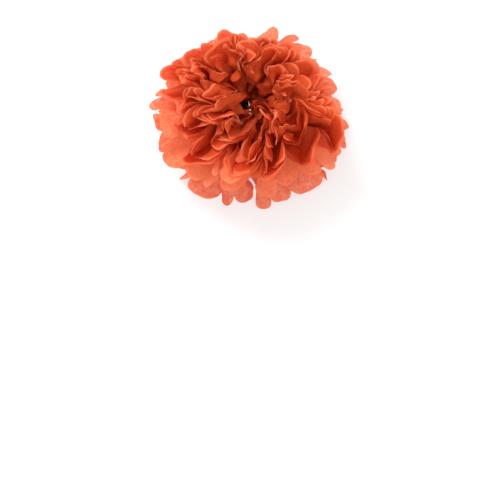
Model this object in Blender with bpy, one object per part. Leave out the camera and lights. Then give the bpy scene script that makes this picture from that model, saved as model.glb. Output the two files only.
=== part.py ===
"""Tissue paper pom pom: nine pleated tissue sheets tied across the middle and opened into a flower.

Each sheet is one closed thin solid: a fan on either side, joined by a small strip under the tie.
Metres, +Z up. The origin is on the floor under the middle of the flower, and the fans open
towards +X and -X. Sheets are counted from the top.
"""

import bpy
import numpy as np
from mathutils.bvhtree import BVHTree

THICKNESS = 0.0002

# Each sheet's elevation in degrees, how far its pleats open and how much it droops. The top
# sheet nearly stands up, and the bottom one lies with its petals on the floor.
SHEET_FORMS = (
    (77.0, 1.0, 1.0),
    (71.0, 1.0, 1.0),
    (65.0, 1.0, 1.0),
    (59.0, 1.0, 1.0),
    (53.0, 1.0, 1.0),
    (47.0, 0.95, 1.0),
    (41.0, 0.9, 0.6),
    (13.0, 0.85, 0.3),
    (-9.5, 0.85, 0.3),
)
SHEETS = len(SHEET_FORMS)
STEEPEST = np.radians(89.0)
STEEP_ROOM = np.radians(27.0)
DROOP = np.radians(10.0)
CURL = np.radians(11.0)

PANELS = 14
PANEL_WIDTH = 0.035
FAN_LENGTH = 0.125
FAN_SPREAD = np.radians(89.0)
PETAL_DEPTH = 0.016
PETAL_BOW = 0.94
PETAL_SHORTEST = 0.94
PETAL_LONGEST = 1.02
FOLD_UNEVEN = 0.35
FOLD_VARY = 0.4
FOLD_STEEPEST = np.radians(46.0)
FRONT_TO_BACK = 0.90

TIE_HEIGHT = 0.034
TIE_RADIUS = 0.006
TIE_HALF = 0.0012
TIE_ZIGZAG = 0.0005
TIE_PITCH = 0.0009

# How far out from the tie each thing starts, and over what length it grows.
FOLD_GROWTH = 0.012
PINCH = 0.018
RISE = 0.026
SWAY = np.radians(5.0)
SWAY_START = 0.020
SWAY_GROWTH = 0.060
CREASE_START = 0.018
CREASE_GROWTH = 0.045
RIM_START = 0.085
RIM_GROWTH = 0.050
RIM_HEIGHT = 0.060
RIM_CALM = 0.6

# Clearance square to the paper between one sheet and the next, and the most it may turn a sheet.
SHEET_GAP = 0.0026
GAP_START = 0.006
GAP_GROWTH = 0.030
GAP_MOST = np.radians(13.0)

TWIST = np.radians(30.0)
TWIST_RISE = 0.170
SWIRL = np.radians(4.0)
SWIRL_REACH = 0.040
# Spacing of a kind of crease through the paper, its size, and how many such creases cross.
CREASES = (
    (0.150, 0.0085, 4),
    (0.080, 0.0055, 6),
    (0.050, 0.0028, 6),
)
CREASE_SHARP = 0.99

FLOOR_SOFT = 0.003
FLOOR_FLAT = 0.0006

SPREAD_STEPS = 120
SPREAD_MOVE = 0.0010
SPREAD_SLOWING = 0.985
SPREAD_CLEARANCE = 0.00015

WIRE_RADIUS = 0.00045
WIRE_CLEARANCE = 0.0003
WIRE_CORNER = 0.001
TAIL_RADIUS = 0.0007
TAIL_DROP = 0.0008
TAIL_LENGTH = 0.010
TAIL_TURNS = 1.5
TAIL_STEPS = 9

# Rows of points from the tie out to the petal tips, and the places across a panel in each.
ROWS = (0.0, 0.16, 0.32, 0.48, 0.65, 0.83, 1.0)
INNER_PLACES = (0.0,)
OUTER_PLACES = (0.0, 0.5)
TIP_PLACES = (0.0, 0.2, 0.5, 0.8)

DEEP_CORAL = (0.70, 0.075, 0.026, 1.0)
PALE_CORAL = (0.86, 0.215, 0.120, 1.0)
WIRE_GREY = (0.62, 0.61, 0.60, 1.0)

SEED = 7


def smooth(t):
    """Eases from 0 at t = 0 to 1 at t = 1."""
    t = np.clip(t, 0.0, 1.0)
    return t * t * (3.0 - 2.0 * t)


def fold_azimuths(chance):
    """Azimuth of each fold line of both fans, unevenly spread from side to side."""
    widths = np.exp(chance.uniform(-FOLD_UNEVEN, FOLD_UNEVEN, (2, PANELS)))
    turned = np.cumsum(widths, axis=1) / widths.sum(axis=1, keepdims=True)
    turned = np.concatenate([np.zeros((2, 1)), turned], axis=1)
    return (2.0 * turned - 1.0) * FAN_SPREAD


def crossing_creases(chance, kinds):
    """Creases that push the paper square to the way they follow each other, so no sheet meets another."""
    made = []
    for length, size, count in kinds:
        for _ in range(count):
            along = chance.normal(size=3)
            along /= np.linalg.norm(along)
            across = np.cross(along, chance.normal(size=3))
            across /= np.linalg.norm(across)
            push = across * size * 1.4 / np.sqrt(count)
            phase = chance.uniform(0.0, 2.0 * np.pi)
            made.append((along * 2.0 * np.pi / length, push, phase))
    return made


class Flower:
    """The uneven folds, curls and creases that make this one pom pom."""

    def __init__(self, seed):
        chance = np.random.default_rng(seed)
        self.folds = fold_azimuths(chance)
        self.fold_size = 1.0 + chance.uniform(-FOLD_VARY, FOLD_VARY, (2, SHEETS, PANELS + 1))
        self.curl = chance.uniform(-1.0, 1.0, (2, SHEETS, PANELS + 1))
        self.sway = chance.uniform(0.0, 2.0 * np.pi, (SHEETS, 3))
        self.reach = chance.uniform(PETAL_SHORTEST, PETAL_LONGEST, (2, PANELS))
        self.creases = crossing_creases(chance, CREASES)


def both_folds(values, panel):
    """The value at the fold before each point and at the fold after it."""
    before = np.take_along_axis(values, panel[None], 0)[0]
    after = np.take_along_axis(values, panel[None] + 1, 0)[0]
    return before, after


def fold_lifts(flower, fan, distance, lift):
    """How far each fold stands above or below the middle of its sheet, as an angle at the tie."""
    width = PANEL_WIDTH * (1.0 - np.exp(-((distance / PINCH) ** 1.5)))
    lifts = [np.zeros_like(distance)]
    for i, spread in enumerate(np.diff(flower.folds[fan])):
        flat = (TIE_RADIUS + distance * np.cos(lift)) * spread
        rise = np.sqrt(np.maximum(width**2 - flat**2, (0.25 * width) ** 2))
        step = rise / np.maximum(distance, TIE_HALF)
        lifts.append(lifts[-1] + (-1.0) ** i * FOLD_STEEPEST * np.tanh(step / FOLD_STEEPEST))
    lifts = np.array(lifts)
    padded = np.concatenate([lifts[1:2], lifts, lifts[-2:-1]])
    middle = 0.25 * padded[:-2] + 0.5 * padded[1:-1] + 0.25 * padded[2:]
    middle = np.concatenate([middle[:1]] * 2 + [middle] + [middle[-1:]] * 2)
    drift = sum(middle[k : k + PANELS + 1] for k in range(5)) / 5.0
    return (lifts - drift) * smooth(distance / FOLD_GROWTH)


def steepness(flower, fan, panel, place, distance, lifts, above):
    """Slope across the panels, for a sheet with these folds under one at the elevations above."""
    spread = np.diff(flower.folds[fan])[:, None]
    out = np.maximum(TIE_RADIUS / np.maximum(distance, TIE_HALF) + np.cos(above), 0.15)
    steep = np.abs(np.diff(lifts, axis=0)) / spread / out
    steep = np.concatenate([steep[:1], steep, steep[-1:]])
    before, after = both_folds(np.maximum(steep[:-1], steep[1:]), panel)
    return before + (after - before) * place


def elevations(flower, fan, panel, place, distance):
    """Azimuth of each point, and its elevation seen from the tie in each sheet."""
    rounded = 0.85 * place + 0.075 * (1.0 - np.cos(np.pi * place))
    azimuth = np.interp(panel + place, np.arange(PANELS + 1), flower.folds[fan])
    turn = np.pi - azimuth if fan else azimuth
    far = distance / FAN_LENGTH
    knee = STEEPEST - STEEP_ROOM
    levels = []
    for n, (degrees, opened, drooped) in enumerate(SHEET_FORMS):
        lift = np.radians(degrees)
        a, b, c = flower.sway[n]
        sway = np.sin(turn + a) + 0.7 * np.sin(2.0 * turn + b) + 0.5 * np.sin(3.0 * turn + c)
        level = lift * smooth(distance / RISE)
        level = level + SWAY * sway * smooth((distance - SWAY_START) / SWAY_GROWTH)
        lifts = opened * fold_lifts(flower, fan, distance, lift)
        before, after = both_folds(lifts * flower.fold_size[fan, n][:, None], panel)
        level = level + before + (after - before) * rounded
        curl = flower.curl[fan, n]
        bend = curl[panel] * (1.0 - place) + curl[panel + 1] * place
        level = level + CURL * bend * far**4 - DROOP * drooped * far**3
        capped = knee + STEEP_ROOM * np.tanh((level - knee) / STEEP_ROOM)
        level = np.where(level > knee, capped, level)
        if n:
            # The steeper the panels stand, the lower a sheet lies to stay clear of the next one up.
            steep = steepness(flower, fan, panel, place, distance, lifts, levels[-1])
            gap = SHEET_GAP * np.sqrt(1.0 + steep**2) * smooth((distance - GAP_START) / GAP_GROWTH)
            gap = np.minimum(gap / np.maximum(distance, GAP_START), GAP_MOST)
            level = np.minimum(level, levels[-1] - gap)
        levels.append(level)
    return azimuth, levels


def reach(flower, fan, panel, place, row):
    """Distance of each point from the tie. The last row follows the rounded ends of the petals."""
    bow = PETAL_BOW * (2.0 * place - 1.0)
    drop = (1.0 - np.sqrt(1.0 - bow**2)) / (1.0 - np.sqrt(1.0 - PETAL_BOW**2))
    notch = FAN_LENGTH - PETAL_DEPTH
    tip = FAN_LENGTH * flower.reach[fan][panel]
    return row * (notch + (tip - notch) * (1.0 - drop) * row**6)


def crumpled(flower, points):
    """The points twisted about the upright axis, creased and pressed on the floor."""
    tie = np.array([0.0, 0.0, TIE_HEIGHT])
    moved = points - tie
    flat = np.hypot(moved[:, 0], moved[:, 1])
    distance = np.linalg.norm(moved, axis=1)
    high = np.arctan2(moved[:, 2], flat)
    turn = np.arctan2(moved[:, 1], moved[:, 0])
    start = smooth((distance - CREASE_START) / CREASE_GROWTH)
    low_rim = smooth((flat - RIM_START) / RIM_GROWTH)
    low_rim = low_rim * smooth((RIM_HEIGHT - moved[:, 2]) / RIM_HEIGHT)
    strength = start * (1.0 - RIM_CALM * low_rim)
    swirl = np.sin(6.0 * high + 1.5 * np.sin(2.0 * turn + 0.7) + distance / SWIRL_REACH)
    swirl = swirl + 0.6 * np.sin(11.0 * high + 2.0 + 1.2 * np.sin(turn))
    twist = TWIST * smooth(moved[:, 2] / TWIST_RISE) + SWIRL * swirl * start
    x = moved[:, 0] * np.cos(twist) - moved[:, 1] * np.sin(twist)
    y = moved[:, 0] * np.sin(twist) + moved[:, 1] * np.cos(twist)
    moved = np.stack([x, y, moved[:, 2]], axis=1)
    for along, push, phase in flower.creases:
        crease = np.arcsin(CREASE_SHARP * np.sin(moved @ along + phase))
        moved = moved + (strength * crease)[:, None] * push
    points = moved + tie
    points[:, 1] *= FRONT_TO_BACK
    z = points[:, 2]
    pressed = FLOOR_SOFT * np.exp(np.minimum(0.9 * (z - FLOOR_SOFT) / FLOOR_SOFT, 0.0))
    z = np.where(z < FLOOR_SOFT, pressed, z)
    points[:, 2] = np.maximum(z - FLOOR_FLAT, 0.0) + 0.5 * THICKNESS
    return points


def fan_points(flower, fan, n, panel, place, distance, azimuth, level):
    """Points of one fan of sheet n."""
    side = 2.0 * (panel + place) / PANELS - 1.0
    zigzag = (-1.0) ** panel * (1.0 - 2.0 * place) * (1.0 - side**2)
    out = TIE_RADIUS + distance * np.cos(level)
    x = TIE_HALF + out * np.cos(azimuth)
    y = out * np.sin(azimuth)
    z = TIE_HEIGHT + ((SHEETS - 1) / 2.0 - n) * TIE_PITCH + TIE_ZIGZAG * zigzag
    z = z + distance * np.sin(level)
    return crumpled(flower, np.stack([-x if fan else x, y, z], axis=1))


def sheet_points(flower, fans, levels, n):
    """Points of the middle surface of sheet n, first one fan and then the other."""
    made = []
    for fan in range(2):
        panel, place, distance, azimuth = fans[fan]
        made.append(fan_points(flower, fan, n, panel, place, distance, azimuth, levels[fan][n]))
    return np.concatenate(made)


def fan_grid():
    """Panel, place across it and row of each point of a fan, and the point numbers of each row."""
    panels = []
    places = []
    rows = []
    numbers = []
    start = 0
    for row in ROWS:
        steps = TIP_PLACES if row == 1.0 else OUTER_PLACES if row > 0.8 else INNER_PLACES
        count = PANELS * len(steps) + 1
        panels.append(np.append(np.repeat(np.arange(PANELS), len(steps)), PANELS - 1))
        places.append(np.append(np.tile(steps, PANELS), 1.0))
        rows.append(np.full(count, row))
        numbers.append(np.arange(start, start + count))
        start += count
    return np.concatenate(panels), np.concatenate(places), np.concatenate(rows), numbers


def strip_faces(near, far):
    """Triangles between two rows of points, panel by panel."""
    a = (len(near) - 1) // PANELS
    b = (len(far) - 1) // PANELS
    faces = []
    for p in range(PANELS):
        i = near[p * a : p * a + a + 1]
        j = far[p * b : p * b + b + 1]
        x = 0
        y = 0
        while x < a or y < b:
            if y < b and (x == a or (y + 0.5) * a <= (x + 0.5) * b):
                faces.append((i[x], j[y], j[y + 1]))
                y += 1
            else:
                faces.append((i[x], j[y], i[x + 1]))
                x += 1
    return faces


def sheet_faces(numbers, count):
    """Triangles of the middle surface of a sheet: both fans, and the strip that joins them."""
    faces = []
    for near, far in zip(numbers[:-1], numbers[1:]):
        faces += strip_faces(near, far)
        faces += [(a, c, b) for a, b, c in strip_faces(near + count, far + count)]
    faces += [(a, c, b) for a, b, c in strip_faces(numbers[0], numbers[0] + count)]
    return np.array(faces)


def rim_edges(faces):
    """Edges that only one triangle has."""
    sides = np.concatenate([faces[:, [0, 1]], faces[:, [1, 2]], faces[:, [2, 0]]]).tolist()
    found = {(a, b) for a, b in sides}
    return [(a, b) for a, b in sides if (b, a) not in found]


def corner_normals(points, faces):
    """Unit normal at each point, with each triangle counted by its angle there."""
    corners = points[faces]
    flat = np.cross(corners[:, 1] - corners[:, 0], corners[:, 2] - corners[:, 0])
    flat /= np.maximum(np.linalg.norm(flat, axis=1, keepdims=True), 1e-15)
    normals = np.zeros_like(points)
    for k in range(3):
        one = corners[:, (k + 1) % 3] - corners[:, k]
        two = corners[:, (k + 2) % 3] - corners[:, k]
        size = np.linalg.norm(one, axis=1) * np.linalg.norm(two, axis=1)
        angle = np.arccos(np.clip((one * two).sum(axis=1) / size, -1.0, 1.0))
        np.add.at(normals, faces[:, k], flat * angle[:, None])
    return normals / np.linalg.norm(normals, axis=1, keepdims=True)


def paper_solid(points, faces, rim, thickness):
    """The middle surface given its thickness, closed along the rim and flat where it meets the floor."""
    normals = corner_normals(points, faces)
    on_floor = points[:, 2] < 0.501 * THICKNESS
    normals[on_floor] = np.sign(normals[on_floor][:, 2:]) * np.array([0.0, 0.0, 1.0])
    half = normals * 0.5 * thickness
    count = len(points)
    walls = [(b, a, a + count) for a, b in rim] + [(b, a + count, b + count) for a, b in rim]
    solid = np.concatenate([faces, faces[:, ::-1] + count, np.array(walls)])
    return np.concatenate([points + half, points - half]), solid


def pushes_apart(solids, corners, count):
    """Which points of each sheet have to rise, or sink if negative, where two sheets touch."""
    pushes = np.zeros((SHEETS, 2 * count))
    for upper in range(SHEETS):
        for i, j in solids[upper].overlap(solids[upper]):
            # Where the two fans of one sheet meet over the tie, both have to lean back.
            if (corners[i] < count).all() and (corners[j] >= count).all():
                pushes[upper, corners[i]] -= 1.0
                pushes[upper, corners[j]] -= 1.0
        for lower in range(upper + 1, SHEETS):
            for i, j in solids[upper].overlap(solids[lower]):
                one_fan = (corners[i, 0] < count) == (corners[j, 0] < count)
                # Where the two fans meet over the tie, both have to lean back.
                pushes[upper, corners[i]] += 1.0 if one_fan else -1.0
                pushes[lower, corners[j]] -= 1.0
    return np.clip(pushes, -1.0, 1.0)


def spread_apart(flower, fans, levels, faces, rim):
    """Raises and lowers points in small steps until no sheet touches another."""
    count = len(fans[0][0])
    for step in range(SPREAD_STEPS):
        solids = []
        for n in range(SHEETS):
            middle = sheet_points(flower, fans, levels, n)
            points, solid = paper_solid(middle, faces, rim, THICKNESS + SPREAD_CLEARANCE)
            solids.append(BVHTree.FromPolygons(points.tolist(), solid.tolist()))
        pushes = pushes_apart(solids, solid % (2 * count), count)
        if not pushes.any():
            break
        move = SPREAD_MOVE * SPREAD_SLOWING**step
        for fan in range(2):
            distance = fans[fan][2]
            turn = move / np.maximum(distance, SWAY_START) * smooth(distance / FOLD_GROWTH)
            for n in range(SHEETS):
                push = pushes[n, fan * count : (fan + 1) * count]
                levels[fan][n] = levels[fan][n] + turn * push
    return levels


def tissue_sheets():
    """Points and triangles of each sheet, before the flower is centred."""
    flower = Flower(SEED)
    panel, place, row, numbers = fan_grid()
    fans = []
    levels = []
    for fan in range(2):
        distance = reach(flower, fan, panel, place, row)
        azimuth, fan_levels = elevations(flower, fan, panel, place, distance)
        fans.append((panel, place, distance, azimuth))
        levels.append(fan_levels)
    faces = sheet_faces(numbers, len(panel))
    rim = rim_edges(faces)
    levels = spread_apart(flower, fans, levels, faces, rim)
    made = []
    for n in range(SHEETS):
        made.append(paper_solid(sheet_points(flower, fans, levels, n), faces, rim, THICKNESS))
    return made


def wire_path():
    """From one end of the tail round the pinched sheets at x = 0 to the other end of the tail."""
    side = TIE_RADIUS * FRONT_TO_BACK + WIRE_CLEARANCE + WIRE_RADIUS
    stack = 0.5 * (SHEETS - 1) * TIE_PITCH + TIE_ZIGZAG + 0.5 * THICKNESS
    half = stack + WIRE_CLEARANCE + WIRE_RADIUS
    path = []
    for step in range(TAIL_STEPS + 1):
        left = 1.0 - step / TAIL_STEPS
        turned = np.pi + 2.0 * np.pi * TAIL_TURNS * left
        z = TIE_HEIGHT - half - TAIL_DROP - TAIL_LENGTH * left
        path.append((TAIL_RADIUS * np.sin(turned), TAIL_RADIUS * np.cos(turned), z))
    for z, first in ((WIRE_CORNER - half, 270), (half - WIRE_CORNER, 180)):
        for degrees in (first, first - 45, first - 90):
            turned = np.radians(degrees)
            along = WIRE_CORNER - side + WIRE_CORNER * np.cos(turned)
            path.append((0.0, along, TIE_HEIGHT + z + WIRE_CORNER * np.sin(turned)))
    return np.array(path + [(-x, -y, z) for x, y, z in reversed(path)])


def plain_material(name, colour, roughness, metallic):
    material = bpy.data.materials.new(name)
    material.use_nodes = True
    surface = material.node_tree.nodes["Principled BSDF"]
    surface.inputs["Base Color"].default_value = colour
    surface.inputs["Roughness"].default_value = roughness
    surface.inputs["Metallic"].default_value = metallic
    material.diffuse_color = colour
    return material


def add_object(name, data, material):
    data.materials.append(material)
    bpy.context.scene.collection.objects.link(bpy.data.objects.new(name, data))


def add_sheet(n, points, faces):
    """One sheet. Where only a sheet or two lie over each other the paper is paler."""
    name = f"tissue_sheet_{n + 1}"
    mesh = bpy.data.meshes.new(name)
    mesh.from_pydata(points.tolist(), [], faces.tolist())
    mesh.shade_smooth()
    pale = smooth((n - 0.5 * SHEETS) / (0.5 * SHEETS))
    colour = [deep + (light - deep) * pale for deep, light in zip(DEEP_CORAL, PALE_CORAL)]
    add_object(name, mesh, plain_material(f"tissue_{n + 1}", colour, 0.85, 0.0))


def add_tie_wire(path):
    """The thin wire that pinches the sheets, its two ends twisted together underneath."""
    curve = bpy.data.curves.new("tie_wire", "CURVE")
    curve.dimensions = "3D"
    curve.bevel_depth = WIRE_RADIUS
    curve.bevel_resolution = 1
    curve.use_fill_caps = True
    spline = curve.splines.new("POLY")
    spline.points.add(len(path) - 1)
    for point, place in zip(spline.points, path):
        point.co = (*place, 1.0)
    spline.use_smooth = True
    add_object("tie_wire", curve, plain_material("tie_wire", WIRE_GREY, 0.35, 1.0))


for old in list(bpy.data.objects):
    bpy.data.objects.remove(old)

sheets = tissue_sheets()
every_point = np.concatenate([points for points, faces in sheets])
centre = 0.5 * (every_point.min(axis=0) + every_point.max(axis=0))
centre[2] = 0.0
for number, (sheet, triangles) in enumerate(sheets):
    add_sheet(number, sheet - centre, triangles)
add_tie_wire(wire_path() - centre)
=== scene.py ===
"""Tissue paper pom pom: coral tissue sheets pleated, tied across the middle and fluffed out."""

import math

import bpy
import numpy as np
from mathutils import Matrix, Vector


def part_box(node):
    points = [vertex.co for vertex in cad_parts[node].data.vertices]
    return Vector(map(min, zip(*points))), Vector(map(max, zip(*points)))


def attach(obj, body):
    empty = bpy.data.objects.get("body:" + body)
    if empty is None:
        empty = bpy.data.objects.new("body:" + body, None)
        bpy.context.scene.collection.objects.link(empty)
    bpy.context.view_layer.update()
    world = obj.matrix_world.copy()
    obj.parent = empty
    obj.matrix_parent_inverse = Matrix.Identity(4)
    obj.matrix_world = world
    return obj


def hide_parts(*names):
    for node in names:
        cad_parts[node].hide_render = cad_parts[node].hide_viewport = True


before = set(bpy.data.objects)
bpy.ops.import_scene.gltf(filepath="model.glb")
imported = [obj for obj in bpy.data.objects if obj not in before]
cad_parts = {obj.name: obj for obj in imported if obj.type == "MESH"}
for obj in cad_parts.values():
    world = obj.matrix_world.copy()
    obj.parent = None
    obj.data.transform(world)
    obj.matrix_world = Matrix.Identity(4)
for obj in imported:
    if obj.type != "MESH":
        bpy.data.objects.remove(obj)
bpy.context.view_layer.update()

# Each sheet's elevation in degrees, how far its pleats open and how much it droops, top sheet first.
SHEET_FORMS = (
    (77.0, 1.0, 1.0),
    (71.0, 1.0, 1.0),
    (65.0, 1.1, 1.0),
    (59.0, 1.15, 1.0),
    (53.0, 1.1, 1.0),
    (47.0, 1.0, 1.0),
    (41.0, 1.0, 0.6),
    (13.0, 0.9, 0.3),
    (-9.5, 0.9, 0.3),
)
SHEETS = len(SHEET_FORMS)
# No sheet stands steeper than this, and it eases up to it over this much room.
STEEPEST = np.radians(89.0)
STEEP_ROOM = np.radians(27.0)
DROOP = np.radians(10.0)
CURL = np.radians(11.0)
# A sheet sways up and down once, twice and three times on the way round, in these shares.
SWAY = np.radians(5.0)
SWAY_SHARES = (1.0, 0.7, 0.5)

# A flat sheet is 14 panels of 35 mm one way and two petals of 125 mm the other.
PANELS = 14
PANEL_WIDTH = 0.035
FAN_LENGTH = 0.125
FAN_SPREAD = np.radians(89.0)
PETAL_DEPTH = 0.016
PETAL_BOW = 0.94
PETAL_SHORTEST = 0.94
PETAL_LONGEST = 1.02
# The rows of points take on the rounded ends by this power of their place.
PETAL_SWELL = 6
# How unevenly the folds are spread, how much their height varies, and how steep and flat they get.
FOLD_UNEVEN = 0.35
FOLD_VARY = 0.4
FOLD_STEEPEST = np.radians(46.0)
FOLD_FLATTEST = 0.25
# Share of each panel's slope that is rounded off at its two folds.
FOLD_ROUND = 0.15
# Folds on either side over which the height of a fan is evened out.
FOLDS_EVENED = 2
# Least distance from the upright axis, as a share of that from the tie, where slopes are worked out.
LEAST_OUT = 0.15
FRONT_TO_BACK = 0.90

# The pinched stack: its height off the floor, half width and length, pleats and spacing of sheets.
TIE_HEIGHT = 0.034
TIE_RADIUS = 0.006
TIE_HALF = 0.0012
TIE_ZIGZAG = 0.0005
TIE_PITCH = 0.0009

# Where each form starts, measured from the tie, and how far it takes to grow.
FOLD_GROWTH = 0.012
PINCH = 0.018
PINCH_POWER = 1.5
RISE = 0.026
SWAY_START = 0.020
SWAY_GROWTH = 0.060
WAVE_START = 0.018
WAVE_GROWTH = 0.045
RIM_START = 0.085
RIM_GROWTH = 0.050
RIM_HEIGHT = 0.060
RIM_CALM = 0.6

# Space kept between one sheet and the next, up to an angle seen from the tie.
SHEET_GAP = 0.0016
GAP_START = 0.006
GAP_GROWTH = 0.030
GAP_MOST = np.radians(9.0)

TWIST = np.radians(30.0)
TWIST_RISE = 0.170
# The swirl is a wide wave up the flower and a fine one, and both lean to and fro on the way round.
SWIRL = np.radians(4.0)
SWIRL_REACH = 0.040
SWIRL_WIDE = 6.0
SWIRL_WIDE_LEAN = 1.5
SWIRL_WIDE_START = 0.7
SWIRL_FINE = 11.0
SWIRL_FINE_LEAN = 1.2
SWIRL_FINE_START = 2.0
SWIRL_FINE_SHARE = 0.6
# Length of a wave through the paper, its size, and how many such waves cross each other.
WAVES = ((0.150, 0.0085, 4), (0.080, 0.0055, 6), (0.050, 0.0028, 6))
CREASES = ((0.044, 0.0060, 8), (0.026, 0.0046, 8), (0.015, 0.0024, 8))
CREASE_SHARP = 0.99
CREASE_GAIN = 1.4
# The creases are full in the steep middle of the flower, and this share of them is left elsewhere.
CREASE_LEFT = 0.15
MIDDLE_START = np.radians(42.0)
MIDDLE_GROWTH = np.radians(26.0)
MIDDLE_REACH = 0.030
MIDDLE_FADE = 0.042
MIDDLE_CALM = 0.032

# Paper below this height is pressed flatter and never goes through the floor.
FLOOR_SOFT = 0.003
FLOOR_EASE = 0.9
PAPER_HALF = 0.0001

# Steps across each panel, and rows of points from the tie to the rim.
ACROSS_PANEL = 12
ROWS = 56
# Below 1, the rows lie closer together towards the rim.
ROWS_OUTWARD = 0.9
AREA_STEPS = 100
SEED = 7


def smooth(t):
    """Eases from 0 at t = 0 to 1 at t = 1."""
    t = np.clip(t, 0.0, 1.0)
    return t * t * (3.0 - 2.0 * t)


def fold_azimuths(chance):
    """Azimuth of each fold line of both fans, unevenly spread from side to side."""
    widths = np.exp(chance.uniform(-FOLD_UNEVEN, FOLD_UNEVEN, (2, PANELS)))
    turned = np.cumsum(widths, axis=1) / widths.sum(axis=1, keepdims=True)
    turned = np.concatenate([np.zeros((2, 1)), turned], axis=1)
    return (2.0 * turned - 1.0) * FAN_SPREAD


def crossing_waves(chance, kinds):
    """Waves that push the paper square to the way they run, so that nothing passes through."""
    made = []
    for length, size, count in kinds:
        for _ in range(count):
            along = chance.normal(size=3)
            along /= np.linalg.norm(along)
            across = np.cross(along, chance.normal(size=3))
            across /= np.linalg.norm(across)
            push = across * size * CREASE_GAIN / np.sqrt(count)
            phase = chance.uniform(0.0, 2.0 * np.pi)
            made.append((along * 2.0 * np.pi / length, push, phase))
    return made


class Flower:
    """The uneven folds, curls and waves that make this one pom pom."""

    def __init__(self, seed):
        chance = np.random.default_rng(seed)
        self.folds = fold_azimuths(chance)
        self.fold_size = 1.0 + chance.uniform(-FOLD_VARY, FOLD_VARY, (2, SHEETS, PANELS + 1))
        self.curl = chance.uniform(-1.0, 1.0, (2, SHEETS, PANELS + 1))
        self.sway = chance.uniform(0.0, 2.0 * np.pi, (SHEETS, len(SWAY_SHARES)))
        self.reach = chance.uniform(PETAL_SHORTEST, PETAL_LONGEST, (2, PANELS))
        self.waves = crossing_waves(chance, WAVES)
        self.creases = crossing_waves(chance, CREASES)


def both_folds(values, panel):
    """The value at the fold before each point and at the fold after it."""
    before = np.take_along_axis(values, panel[None], 0)[0]
    after = np.take_along_axis(values, panel[None] + 1, 0)[0]
    return before, after


def fold_lifts(flower, fan, distance, lift):
    """How far each fold stands above or below the middle of its sheet, as an angle at the tie."""
    width = PANEL_WIDTH * (1.0 - np.exp(-((distance / PINCH) ** PINCH_POWER)))
    lifts = [np.zeros_like(distance)]
    for i, spread in enumerate(np.diff(flower.folds[fan])):
        flat = (TIE_RADIUS + distance * np.cos(lift)) * spread
        rise = np.sqrt(np.maximum(width**2 - flat**2, (FOLD_FLATTEST * width) ** 2))
        step = rise / np.maximum(distance, TIE_HALF)
        lifts.append(lifts[-1] + (-1.0) ** i * FOLD_STEEPEST * np.tanh(step / FOLD_STEEPEST))
    lifts = np.array(lifts)
    padded = np.concatenate([lifts[1:2], lifts, lifts[-2:-1]])
    middle = 0.25 * padded[:-2] + 0.5 * padded[1:-1] + 0.25 * padded[2:]
    middle = np.concatenate([middle[:1]] * FOLDS_EVENED + [middle] + [middle[-1:]] * FOLDS_EVENED)
    evened = range(2 * FOLDS_EVENED + 1)
    drift = sum(middle[k : k + PANELS + 1] for k in evened) / len(evened)
    return (lifts - drift) * smooth(distance / FOLD_GROWTH)


def steepness(flower, fan, panel, place, distance, lifts, above):
    """Slope across the panels, for a sheet with these folds under one at the elevations above."""
    spread = np.diff(flower.folds[fan])[:, None]
    out = np.maximum(TIE_RADIUS / np.maximum(distance, TIE_HALF) + np.cos(above), LEAST_OUT)
    steep = np.abs(np.diff(lifts, axis=0)) / spread / out
    steep = np.concatenate([steep[:1], steep, steep[-1:]])
    before, after = both_folds(np.maximum(steep[:-1], steep[1:]), panel)
    return before + (after - before) * place


def elevations(flower, fan, panel, place, distance):
    """Azimuth of each point, and its elevation seen from the tie in each sheet."""
    rounded = (1.0 - FOLD_ROUND) * place + 0.5 * FOLD_ROUND * (1.0 - np.cos(np.pi * place))
    azimuth = np.interp(panel + place, np.arange(PANELS + 1), flower.folds[fan])
    turn = np.pi - azimuth if fan else azimuth
    far = distance / FAN_LENGTH
    knee = STEEPEST - STEEP_ROOM
    levels = []
    for n, (degrees, opened, drooped) in enumerate(SHEET_FORMS):
        lift = np.radians(degrees)
        sway = 0.0
        for waves, (share, phase) in enumerate(zip(SWAY_SHARES, flower.sway[n]), start=1):
            sway = sway + share * np.sin(waves * turn + phase)
        level = lift * smooth(distance / RISE)
        level = level + SWAY * sway * smooth((distance - SWAY_START) / SWAY_GROWTH)
        lifts = opened * fold_lifts(flower, fan, distance, lift)
        before, after = both_folds(lifts * flower.fold_size[fan, n][:, None], panel)
        level = level + before + (after - before) * rounded
        curl = flower.curl[fan, n]
        bend = curl[panel] * (1.0 - place) + curl[panel + 1] * place
        level = level + CURL * bend * far**4 - DROOP * drooped * far**3
        capped = knee + STEEP_ROOM * np.tanh((level - knee) / STEEP_ROOM)
        level = np.where(level > knee, capped, level)
        if n:
            steep = steepness(flower, fan, panel, place, distance, lifts, levels[-1])
            gap = SHEET_GAP * np.sqrt(1.0 + steep**2) * smooth((distance - GAP_START) / GAP_GROWTH)
            gap = np.minimum(gap / np.maximum(distance, GAP_START), GAP_MOST)
            level = np.minimum(level, levels[-1] - gap)
        levels.append(level)
    return azimuth, levels


def reach(flower, fan, panel, place, row):
    """Distance of each point from the tie. The last row follows the rounded ends of the petals."""
    bow = PETAL_BOW * (2.0 * place - 1.0)
    drop = (1.0 - np.sqrt(1.0 - bow**2)) / (1.0 - np.sqrt(1.0 - PETAL_BOW**2))
    notch = FAN_LENGTH - PETAL_DEPTH
    tip = FAN_LENGTH * flower.reach[fan][panel]
    return row * (notch + (tip - notch) * (1.0 - drop) * row**PETAL_SWELL)


def cut_area(flower):
    """Flat area of one sheet with the ends of its petals cut round."""
    across = (np.arange(PANELS * AREA_STEPS) + 0.5) / AREA_STEPS
    panel = across.astype(int)
    mean = [reach(flower, fan, panel, across - panel, 1.0).mean() for fan in range(2)]
    return PANELS * PANEL_WIDTH * sum(mean)


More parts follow.
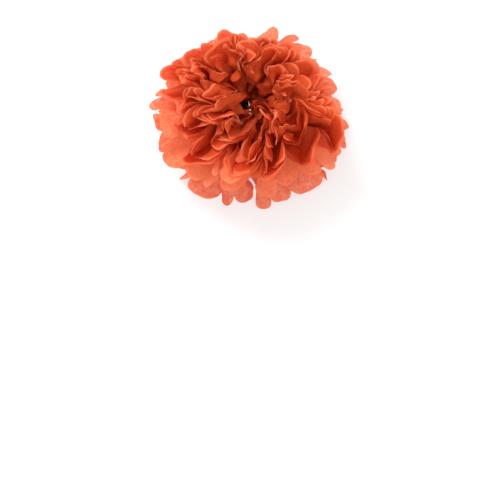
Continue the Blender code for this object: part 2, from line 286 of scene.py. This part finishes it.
def fan_points(fan, n, panel, place, distance, azimuth, level):
    """Points of one fan of sheet n, seen from the tie and not yet crumpled."""
    side = 2.0 * (panel + place) / PANELS - 1.0
    zigzag = (-1.0) ** panel * (1.0 - 2.0 * place) * (1.0 - side**2)
    out = TIE_RADIUS + distance * np.cos(level)
    x = TIE_HALF + out * np.cos(azimuth)
    y = out * np.sin(azimuth)
    z = ((SHEETS - 1) / 2.0 - n) * TIE_PITCH + TIE_ZIGZAG * zigzag + distance * np.sin(level)
    return np.stack([-x if fan else x, y, z], axis=1)


def pleated_sheets(flower):
    """Each sheet as one even surface of points: out along one fan and back along the other."""
    across = np.linspace(0.0, PANELS, PANELS * ACROSS_PANEL + 1)
    panel = np.minimum(np.floor(across).astype(int), PANELS - 1)
    row = np.linspace(0.0, 1.0, ROWS) ** ROWS_OUTWARD
    grid = [g.reshape(-1) for g in np.meshgrid(np.arange(len(across)), row, indexing="ij")]
    panel = panel[grid[0]]
    place = across[grid[0]] - panel
    sides = []
    for fan in range(2):
        distance = reach(flower, fan, panel, place, grid[1])
        azimuth, levels = elevations(flower, fan, panel, place, distance)
        sides.append((distance, azimuth, levels))
    numbers = np.arange(len(panel)).reshape(len(across), ROWS)
    numbers = np.concatenate([numbers[:, ::-1] + len(panel), numbers], axis=1)
    faces = np.stack([numbers[:-1, :-1], numbers[:-1, 1:], numbers[1:, 1:], numbers[1:, :-1]], -1)
    sheet_uv = np.stack([across[grid[0]] * PANEL_WIDTH, grid[1] * FAN_LENGTH], axis=1)
    sheet_uv = np.concatenate([sheet_uv, sheet_uv * (1.0, -1.0)])
    made = []
    for n in range(SHEETS):
        points = []
        for fan, (distance, azimuth, levels) in enumerate(sides):
            points.append(fan_points(fan, n, panel, place, distance, azimuth, levels[n]))
        made.append((np.concatenate(points), faces.reshape(-1, 4), sheet_uv))
    return made


class Value:
    """An output of a node. Sums and products of these add the nodes that work them out."""

    def __init__(self, tree, socket):
        self.tree = tree
        self.socket = socket

    def __add__(self, other):
        return worked(self.tree, "ADD", self, other)

    def __sub__(self, other):
        return worked(self.tree, "SUBTRACT", self, other)

    def __rsub__(self, other):
        return worked(self.tree, "SUBTRACT", other, self)

    def __mul__(self, other):
        return worked(self.tree, "MULTIPLY", self, other)

    def __truediv__(self, other):
        return worked(self.tree, "DIVIDE", self, other)

    __radd__ = __add__
    __rmul__ = __mul__


def node(tree, kind, settings, sockets, output=0):
    """A new node with its settings, then the values or links of its sockets."""
    made = tree.nodes.new(kind)
    for name, value in settings.items():
        setattr(made, name, value)
    for name, value in sockets.items():
        if isinstance(value, Value):
            tree.links.new(value.socket, made.inputs[name])
        else:
            made.inputs[name].default_value = value
    return Value(tree, made.outputs[output]) if len(made.outputs) else None


def worked(tree, operation, *values):
    """Arithmetic on numbers, or on vectors where the first one is a vector."""
    first = values[0]
    vector = isinstance(first, Value) and first.socket.type == "VECTOR"
    kind = "ShaderNodeVectorMath" if vector else "ShaderNodeMath"
    return node(tree, kind, {"operation": operation}, dict(enumerate(values)))


def sine(value):
    return worked(value.tree, "SINE", value)


def spread(tree, value, low, high, to_low, to_high):
    """The value taken from one range to another, held at the ends."""
    ends = {"Value": value, "From Min": low, "From Max": high, "To Min": to_low, "To Max": to_high}
    return node(tree, "ShaderNodeMapRange", {}, ends)


def eased(value, low, growth):
    """Eases from 0 at low to 1 a growth further on."""
    ends = {"Value": value, "From Min": low, "From Max": low + growth}
    return node(value.tree, "ShaderNodeMapRange", {"interpolation_type": "SMOOTHSTEP"}, ends)


def new_tree(name, inputs):
    """An empty geometry tree with one geometry and some sizes going in, and one geometry coming out."""
    tree = bpy.data.node_groups.new(name, "GeometryNodeTree")
    tree.interface.new_socket("Geometry", in_out="INPUT", socket_type="NodeSocketGeometry")
    for label, kind in inputs:
        tree.interface.new_socket(label, in_out="INPUT", socket_type=kind)
    tree.interface.new_socket("Geometry", in_out="OUTPUT", socket_type="NodeSocketGeometry")
    given = tree.nodes.new("NodeGroupInput")
    return tree, {socket.name: Value(tree, socket) for socket in given.outputs if socket.name}


def close_tree(tree, geometry, material):
    real = node(tree, "GeometryNodeRealizeInstances", {}, {0: geometry})
    dressed = node(tree, "GeometryNodeSetMaterial", {}, {"Geometry": real, "Material": material})
    node(tree, "NodeGroupOutput", {}, {0: dressed})


def shaped(name, start, tree, sizes):
    """The plain mesh that a tree makes of a starting mesh, as a new object."""
    plain = add_object("start", start)
    modifier = plain.modifiers.new("shape", "NODES")
    modifier.node_group = tree
    for item in tree.interface.items_tree:
        if item.in_out == "INPUT" and item.name in sizes:
            modifier[item.identifier] = sizes[item.name]
    evaluated = plain.evaluated_get(bpy.context.evaluated_depsgraph_get())
    mesh = bpy.data.meshes.new_from_object(evaluated)
    bpy.data.objects.remove(plain)
    return add_object(name, mesh)


CRUMPLE_SIZES = {
    "Twist": TWIST,
    "Twist Rise": TWIST_RISE,
    "Swirl": SWIRL,
    "Sharpness": CREASE_SHARP,
    "Front To Back": FRONT_TO_BACK,
}


def crumple_tree(flower, tie, material):
    """Twists a pleated sheet about the upright axis, creases it and presses it on the floor.

    Each crease pushes the paper square to the way it runs, so that no sheet passes through another.
    """
    tree, given = new_tree(material.name, [(name, "NodeSocketFloat") for name in CRUMPLE_SIZES])
    moved = node(tree, "GeometryNodeInputPosition", {}, {})
    parts = {"Vector": moved}
    x, y, z = (node(tree, "ShaderNodeSeparateXYZ", {}, parts, axis) for axis in "XYZ")
    flat = worked(tree, "SQRT", x * x + y * y)
    distance = worked(tree, "SQRT", flat * flat + z * z)
    high = worked(tree, "ARCTAN2", z, flat)
    turn = worked(tree, "ARCTAN2", y, x)
    start = eased(distance, WAVE_START, WAVE_GROWTH)
    low_rim = eased(flat, RIM_START, RIM_GROWTH) * (1.0 - eased(z, 0.0, RIM_HEIGHT))
    everywhere = start * (1.0 - RIM_CALM * low_rim)
    outward = 1.0 - eased(flat, MIDDLE_REACH, MIDDLE_FADE)
    inward = eased(distance, MIDDLE_CALM, WAVE_GROWTH)
    steep = eased(high, MIDDLE_START, MIDDLE_GROWTH) * outward
    middle = inward * (CREASE_LEFT + (1.0 - CREASE_LEFT) * steep)
    lean = SWIRL_WIDE_LEAN * sine(2.0 * turn + SWIRL_WIDE_START)
    swirl = sine(SWIRL_WIDE * high + lean + distance / SWIRL_REACH)
    lean = SWIRL_FINE_START + SWIRL_FINE_LEAN * sine(turn)
    swirl = swirl + SWIRL_FINE_SHARE * sine(SWIRL_FINE * high + lean)
    twist = given["Twist"] * eased(z / given["Twist Rise"], 0.0, 1.0) + given["Swirl"] * swirl * start
    turned = {"Vector": moved, "Angle": twist}
    moved = node(tree, "ShaderNodeVectorRotate", {"rotation_type": "Z_AXIS"}, turned)
    for strength, creases in ((everywhere, flower.waves), (middle, flower.creases)):
        for along, push, phase in creases:
            across = {"operation": "DOT_PRODUCT"}
            run = node(tree, "ShaderNodeVectorMath", across, {0: moved, 1: along}, "Value")
            crease = worked(tree, "ARCSINE", given["Sharpness"] * sine(run + phase))
            size = {0: push, "Scale": strength * crease}
            moved = moved + node(tree, "ShaderNodeVectorMath", {"operation": "SCALE"}, size)
    narrowed = node(tree, "ShaderNodeCombineXYZ", {}, {"X": 1.0, "Y": given["Front To Back"], "Z": 1.0})
    parts = {"Vector": moved * narrowed + tie}
    x, y, z = (node(tree, "ShaderNodeSeparateXYZ", {}, parts, axis) for axis in "XYZ")
    sunk = worked(tree, "MINIMUM", FLOOR_EASE / FLOOR_SOFT * (z - FLOOR_SOFT), 0.0)
    pressed = FLOOR_SOFT * worked(tree, "EXPONENT", sunk)
    z = worked(tree, "MAXIMUM", z, pressed) + PAPER_HALF
    placed = node(tree, "ShaderNodeCombineXYZ", {}, {"X": x, "Y": y, "Z": z})
    ends = {"Geometry": given["Geometry"], "Position": placed}
    geometry = node(tree, "GeometryNodeSetPosition", {}, ends)
    close_tree(tree, geometry, material)
    return tree


def mixed(tree, share, first, second):
    """One colour turning into another. The node's sockets 6 and 7 and its output 2 are for colours."""
    return node(tree, "ShaderNodeMix", {"data_type": "RGBA"}, {0: share, 6: first, 7: second}, 2)


# Colours of the upper sheets and of the lowest ones: the upper ones darkened as painted shade, the
# lowest ones lightened as painted light.
THICK_PAPER_SHADE_TO_LIGHT = ((0.70, 0.078, 0.016, 1.0), (0.95, 0.150, 0.056, 1.0))
THIN_PAPER_SHADE_TO_LIGHT = ((0.77, 0.112, 0.029, 1.0), (1.0, 0.360, 0.210, 1.0))
LIGHT_THROUGH = ((1.0, 0.24, 0.070, 1.0), (1.0, 0.32, 0.140, 1.0))
# Painted highlight colour for the cut rim, as if its edge caught the light.
RIM_HIGHLIGHT = (1.0, 0.28, 0.14, 1.0)
# The band of painted highlight along the cut rim, measured from the tie on the flat sheet.
RIM_HIGHLIGHT_BAND = (0.1226, 0.1244)
# Share of the fine fibres in the clouding, and the part of its range that turns thin paper thick.
FIBRE_SHARE = 0.70
CLOUD_BAND = (0.44, 0.56)
# Opacity where the paper is thick, what it loses where it is thin, and the share of light let through.
OPACITY = 0.98
THIN_LOSS = (0.03, 0.11)
LIGHT_SHARE = (0.32, 0.40)
# The sheet from which painted light makes the paper paler, and over how many sheets it grows; the sheets
# above keep the darker painted shade.
PAINTED_LIGHT_START = 3.5
PAINTED_LIGHT_GROWTH = 4.0


def between(ends, share):
    """The colour or number at this share of the way from one end to the other."""
    first, last = np.array(ends)
    return (first + (last - first) * share).tolist()


def tissue_material(name, painted_light_share):
    """Thin coral tissue: cloudy, a little see-through, darker on the upper sheets as painted shade and
    paler on the lower ones as painted light, with a painted highlight along the cut rim.
    """
    made = bpy.data.materials.new(name)
    made.use_nodes = True
    tree = made.node_tree
    tree.nodes.clear()
    paper = node(tree, "ShaderNodeTexCoord", {}, {}, "Object")
    sheet = node(tree, "ShaderNodeTexCoord", {}, {}, "UV")
    along = node(tree, "ShaderNodeSeparateXYZ", {}, {0: sheet}, 1)
    from_tie = node(tree, "ShaderNodeMath", {"operation": "ABSOLUTE"}, {0: along})
    fibre = node(tree, "ShaderNodeTexNoise", {}, {"Vector": paper, "Scale": 400.0, "Detail": 4.0})
    patch = node(tree, "ShaderNodeTexNoise", {}, {"Vector": paper, "Scale": 120.0, "Detail": 2.0})
    cloud = spread(tree, FIBRE_SHARE * fibre + (1.0 - FIBRE_SHARE) * patch, *CLOUD_BAND, 0.0, 1.0)
    rim_highlight = spread(tree, from_tie, *RIM_HIGHLIGHT_BAND, 0.0, 1.0)
    # The fibre clouding mixes thin and thick paper, and both colours shift from painted shade on the
    # upper sheets to painted light on the lower ones.
    coral = mixed(tree, cloud, between(THIN_PAPER_SHADE_TO_LIGHT, painted_light_share), between(THICK_PAPER_SHADE_TO_LIGHT, painted_light_share))
    # Painted highlight along the cut rim, where the paper's edge would catch the light.
    coral = mixed(tree, rim_highlight, coral, RIM_HIGHLIGHT)
    creases = {"Vector": paper, "Scale": 130.0, "Detail": 4.0, "Roughness": 0.6}
    crease = node(tree, "ShaderNodeTexNoise", {"noise_type": "RIDGED_MULTIFRACTAL"}, creases)
    bump = node(tree, "ShaderNodeBump", {}, {"Strength": 0.45, "Distance": 0.0012, "Height": crease})
    surface = node(
        tree,
        "ShaderNodeBsdfPrincipled",
        {},
        {
            "Base Color": coral,
            "Roughness": 0.75,
            "Specular IOR Level": 0.2,
            "Alpha": OPACITY - between(THIN_LOSS, painted_light_share) * (1.0 - cloud),
            "Normal": bump,
        },
    )
    through = node(tree, "ShaderNodeBsdfTranslucent", {}, {"Color": between(LIGHT_THROUGH, painted_light_share)})
    layers = {0: between(LIGHT_SHARE, painted_light_share), 1: surface, 2: through}
    both = node(tree, "ShaderNodeMixShader", {}, layers)
    node(tree, "ShaderNodeOutputMaterial", {}, {"Surface": both})
    return made


def wire_material():
    """Plain steel wire, a little uneven in tone."""
    made = bpy.data.materials.new("tie_wire")
    made.use_nodes = True
    tree = made.node_tree
    tree.nodes.clear()
    metal = node(tree, "ShaderNodeTexCoord", {}, {}, "Object")
    stain = node(tree, "ShaderNodeTexNoise", {}, {"Vector": metal, "Scale": 900.0, "Detail": 2.0})
    tone = mixed(tree, stain, (0.50, 0.49, 0.47, 1.0), (0.70, 0.69, 0.68, 1.0))
    rough = spread(tree, stain, 0.3, 0.7, 0.25, 0.45)
    steel = {"Base Color": tone, "Roughness": rough, "Metallic": 1.0}
    surface = node(tree, "ShaderNodeBsdfPrincipled", {}, steel)
    node(tree, "ShaderNodeOutputMaterial", {}, {"Surface": surface})
    return made


# How much of the floor the camera sees as plain white.
FLOOR_LIT = 0.55


def floor_material():
    """Plain white card."""
    made = bpy.data.materials.new("white_floor")
    made.use_nodes = True
    tree = made.node_tree
    tree.nodes.clear()
    card = node(tree, "ShaderNodeTexCoord", {}, {}, "Object")
    grain = node(tree, "ShaderNodeTexNoise", {}, {"Vector": card, "Scale": 300.0, "Detail": 2.0})
    white = mixed(tree, grain, (0.95, 0.95, 0.95, 1.0), (0.96, 0.96, 0.96, 1.0))
    plain = node(tree, "ShaderNodeBsdfPrincipled", {}, {"Base Color": white, "Roughness": 1.0})
    lit = node(tree, "ShaderNodeEmission", {}, {"Color": (1.0, 1.0, 1.0, 1.0)})
    seen = node(tree, "ShaderNodeLightPath", {}, {}, "Is Camera Ray") * FLOOR_LIT
    surface = node(tree, "ShaderNodeMixShader", {}, {0: seen, 1: plain, 2: lit})
    node(tree, "ShaderNodeOutputMaterial", {}, {"Surface": surface})
    return made


def add_object(name, data):
    made = bpy.data.objects.new(name, data)
    bpy.context.scene.collection.objects.link(made)
    return made


def add_tissue_sheet(n, points, faces, sheet_uv, flower, tie):
    """One sheet of tissue, pleated, opened and crumpled."""
    mesh = bpy.data.meshes.new("pleated sheet")
    mesh.from_pydata(points.tolist(), [], faces.tolist())
    mesh.shade_smooth()
    ends = np.zeros(2 * len(mesh.edges), dtype=np.int32)
    mesh.edges.foreach_get("vertices", ends)
    column = ends.reshape(-1, 2) % (len(points) // 2) // ROWS
    folded = (column[:, 0] == column[:, 1]) & (column[:, 0] % ACROSS_PANEL == 0)
    mesh.attributes.new("sharp_edge", "BOOLEAN", "EDGE").data.foreach_set("value", folded)
    corners = np.zeros(len(mesh.loops), dtype=np.int32)
    mesh.loops.foreach_get("vertex_index", corners)
    mesh.uv_layers.new(name="sheet").data.foreach_set("uv", sheet_uv[corners].astype(np.float32).ravel())
    # Share of painted light on this sheet: lower sheets are lightened, upper ones keep the painted
    # shade.
    painted_light_share = float(smooth((n - PAINTED_LIGHT_START) / PAINTED_LIGHT_GROWTH))
    material = tissue_material(f"tissue_{n + 1}", painted_light_share)
    piece = shaped(f"tissue_{n + 1}", mesh, crumple_tree(flower, tie, material), CRUMPLE_SIZES)
    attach(piece, "root")
    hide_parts(f"tissue_sheet_{n + 1}")
    cut_area(flower)


WIRE_RADIUS = 0.00045
WIRE_CLEARANCE = 0.0003
WIRE_CORNER = 0.001
TAIL_RADIUS = 0.0007
TAIL_DROP = 0.0008
TAIL_LENGTH = 0.010
TAIL_TURNS = 1.5
TAIL_STEPS = 40
CORNER_STEPS = 8
WIRE_SIDES = 16


def wire_path():
    """From one end of the tail round the pinched sheets at x = 0 to the other end of the tail."""
    side = TIE_RADIUS * FRONT_TO_BACK + WIRE_CLEARANCE + WIRE_RADIUS
    stack = 0.5 * (SHEETS - 1) * TIE_PITCH + TIE_ZIGZAG + PAPER_HALF
    half = stack + WIRE_CLEARANCE + WIRE_RADIUS
    path = []
    for step in range(TAIL_STEPS + 1):
        left = 1.0 - step / TAIL_STEPS
        turned = np.pi + 2.0 * np.pi * TAIL_TURNS * left
        z = -half - TAIL_DROP - TAIL_LENGTH * left
        path.append((TAIL_RADIUS * np.sin(turned), TAIL_RADIUS * np.cos(turned), z))
    for z, first in ((WIRE_CORNER - half, 270.0), (half - WIRE_CORNER, 180.0)):
        for turned in np.radians(np.linspace(first, first - 90.0, CORNER_STEPS)):
            along = WIRE_CORNER - side + WIRE_CORNER * np.cos(turned)
            path.append((0.0, along, z + WIRE_CORNER * np.sin(turned)))
    return np.array(path + [(-x, -y, z) for x, y, z in reversed(path)])


def wire_tree(material):
    """Gives any path a round wire section."""
    tree, given = new_tree("wire", [("Radius", "NodeSocketFloat"), ("Sides", "NodeSocketInt")])
    path = node(tree, "GeometryNodeMeshToCurve", {}, {0: given["Geometry"]})
    ring = {"Resolution": given["Sides"], "Radius": given["Radius"]}
    ring = node(tree, "GeometryNodeCurvePrimitiveCircle", {}, ring)
    section = {"Curve": path, "Profile Curve": ring, "Fill Caps": True}
    swept = node(tree, "GeometryNodeCurveToMesh", {}, section)
    close_tree(tree, node(tree, "GeometryNodeSetShadeSmooth", {}, {0: swept}), material)
    return tree


def add_tie_wire(tie):
    """The thin wire that pinches the sheets, its two ends twisted together underneath."""
    path = wire_path() + tie
    mesh = bpy.data.meshes.new("wire path")
    mesh.from_pydata(path.tolist(), [(i, i + 1) for i in range(len(path) - 1)], [])
    sizes = {"Radius": WIRE_RADIUS, "Sides": WIRE_SIDES}
    wire = shaped("wire", mesh, wire_tree(wire_material()), sizes)
    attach(wire, "root")
    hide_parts("tie_wire")


# Half the width of the floor, then the sun: its strength, how wide it looks and where it shines.
FLOOR_HALF = 3.0
SUN_STRENGTH = 1.5
SUN_ANGLE = math.radians(20.0)
SUN_RAYS = Vector((0.5, -0.7, -1.1))


def add_floor():
    corners = [(x * FLOOR_HALF, y * FLOOR_HALF, 0.0) for x, y in ((-1, -1), (1, -1), (1, 1), (-1, 1))]
    mesh = bpy.data.meshes.new("floor")
    mesh.from_pydata(corners, [], [(0, 1, 2, 3)])
    mesh.materials.append(floor_material())
    add_object("floor", mesh)


def add_light():
    """Soft sun from behind and to the left, in a plain bright room."""
    lamp = bpy.data.lights.new("lamp", "SUN")
    lamp.energy = SUN_STRENGTH
    lamp.angle = SUN_ANGLE
    made = add_object("lamp", lamp)
    made.rotation_euler = SUN_RAYS.to_track_quat("-Z", "Y").to_euler()
    world = bpy.data.worlds.new("room")
    world.use_nodes = True
    bright = world.node_tree.nodes["Background"].inputs
    bright["Color"].default_value = (1.0, 1.0, 1.0, 1.0)
    bright["Strength"].default_value = 1.0
    bpy.context.scene.world = world


VIEW_HEIGHT = math.radians(75.0)
FLOWER_MIDDLE = Vector((0.0, 0.0, 0.05))
# This width at the flower's middle takes up the flower's pixels in the picture.
FLOWER_ACROSS = 0.2543
# Pixels across the picture and the flower, and from the picture's middle up to the flower's.
PICTURE_PIXELS = 500.0
FLOWER_PIXELS = 196.0
PIXELS_UP = 136.0
PIXEL = FLOWER_ACROSS / FLOWER_PIXELS


def add_camera():
    """Looks down on the flower from the front, with the flower high in the picture."""
    camera = bpy.data.cameras.new("camera")
    camera.lens = 100.0
    away = PICTURE_PIXELS * PIXEL * camera.lens / camera.sensor_width
    shift = math.atan(PIXELS_UP * PIXEL / away)
    made = add_object("camera", camera)
    back = Vector((0.0, -math.cos(VIEW_HEIGHT), math.sin(VIEW_HEIGHT)))
    axis = Vector((0.0, -math.cos(VIEW_HEIGHT + shift), math.sin(VIEW_HEIGHT + shift)))
    made.location = FLOWER_MIDDLE + back * away / math.cos(shift)
    made.rotation_euler = (-axis).to_track_quat("-Z", "Y").to_euler()
    bpy.context.scene.camera = made


wire_low, wire_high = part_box("tie_wire")
tie = np.array([0.5 * (wire_low[0] + wire_high[0]), 0.5 * (wire_low[1] + wire_high[1]), TIE_HEIGHT])
pom_pom = Flower(SEED)
for number, (sheet, quads, flat_places) in enumerate(pleated_sheets(pom_pom)):
    add_tissue_sheet(number, sheet, quads, flat_places, pom_pom, tie)
add_tie_wire(tie)
add_floor()
add_light()
add_camera()
bpy.context.scene.view_settings.view_transform = "Standard"
